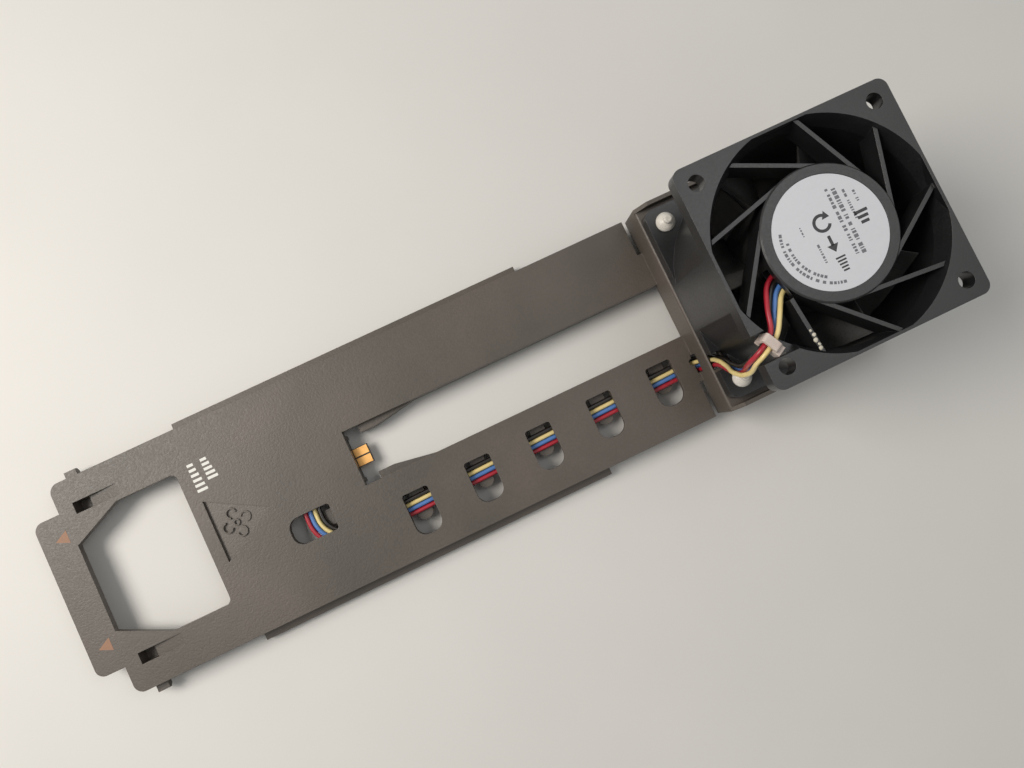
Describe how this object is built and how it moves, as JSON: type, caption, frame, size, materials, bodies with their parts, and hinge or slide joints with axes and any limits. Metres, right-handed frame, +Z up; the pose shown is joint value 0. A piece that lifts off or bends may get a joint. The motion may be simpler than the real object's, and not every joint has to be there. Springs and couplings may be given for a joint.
{
  "type": "server fan module",
  "caption": "Hot-swap server fan module: an axial fan on rubber mounts at the end of a long moulded carrier, wired to a blind-mate connector.",
  "frame": {"origin": "centre of the module's bounding box in plan, on the surface that it stands on", "axes": "+X along the carrier from the grip towards the fan, +Z up along the fan's air flow, +Y across"},
  "size_m": [0.2636, 0.072, 0.0576],
  "materials": {
    "carrier_abs": "dark grey moulded plastic with a fine spark-eroded texture",
    "frame_pbt": "black glass-filled plastic, satin",
    "impeller_pbt": "black glass-filled plastic, satin",
    "label_film": "white polyester film",
    "cup_steel": "deep-drawn zinc-plated steel",
    "magnet_ferrite": "bonded ferrite, matt",
    "bush_brass": "turned brass",
    "shaft_steel": "ground steel",
    "clip_plastic": "natural nylon",
    "bearing_steel": "polished bearing steel",
    "tube_brass": "turned brass",
    "spring_steel": "spring steel",
    "core_steel": "stacked silicon-steel laminations",
    "insulator_plastic": "natural moulded nylon",
    "coil_copper": "enamelled copper winding",
    "board_laminate": "green solder-masked laminate",
    "chip_resin": "black moulding resin",
    "capacitor_can": "aluminium can",
    "mount_silicone": "white silicone rubber",
    "plug_plastic": "black moulded nylon",
    "contact_gold": "gold-plated copper alloy",
    "wire_red": "red vinyl insulation",
    "wire_black": "black vinyl insulation",
    "wire_yellow": "yellow vinyl insulation",
    "wire_blue": "blue vinyl insulation",
    "tie_nylon": "natural nylon"
  },
  "bodies": {
    "carrier_body": {"carrier": "carrier_abs", "fan_housing": "frame_pbt", "hub_label": "label_film", "lower_bearing": "bearing_steel", "upper_bearing": "bearing_steel", "bearing_tube": "tube_brass", "preload_spring": "spring_steel", "stator_core": "core_steel", "top_insulator": "insulator_plastic", "bottom_insulator": "insulator_plastic", "stator_coils": "coil_copper", "circuit_board": "board_laminate", "driver_chip": "chip_resin", "power_switch": "chip_resin", "hall_sensor": "chip_resin", "board_capacitor": "capacitor_can", "rubber_mounts": "mount_silicone", "connector_body": "plug_plastic", "connector_blade": "plug_plastic", "gold_contacts": "contact_gold", "black_wire": "wire_black", "yellow_wire": "wire_yellow", "blue_wire": "wire_blue", "red_wire": "wire_red", "cable_tie": "tie_nylon"},
    "rotor": {"impeller": "impeller_pbt", "rotor_cup": "cup_steel", "rotor_magnet": "magnet_ferrite", "shaft_bush": "bush_brass", "rotor_shaft": "shaft_steel", "shaft_clip": "clip_plastic"}
  },
  "joints": [
    {"name": "rotor_spin", "type": "hinge", "parent": "carrier_body", "child": "rotor", "pos_m": [0.0998, 0, 0.04], "axis": [0, 0, 1], "continuous": true}
  ]
}
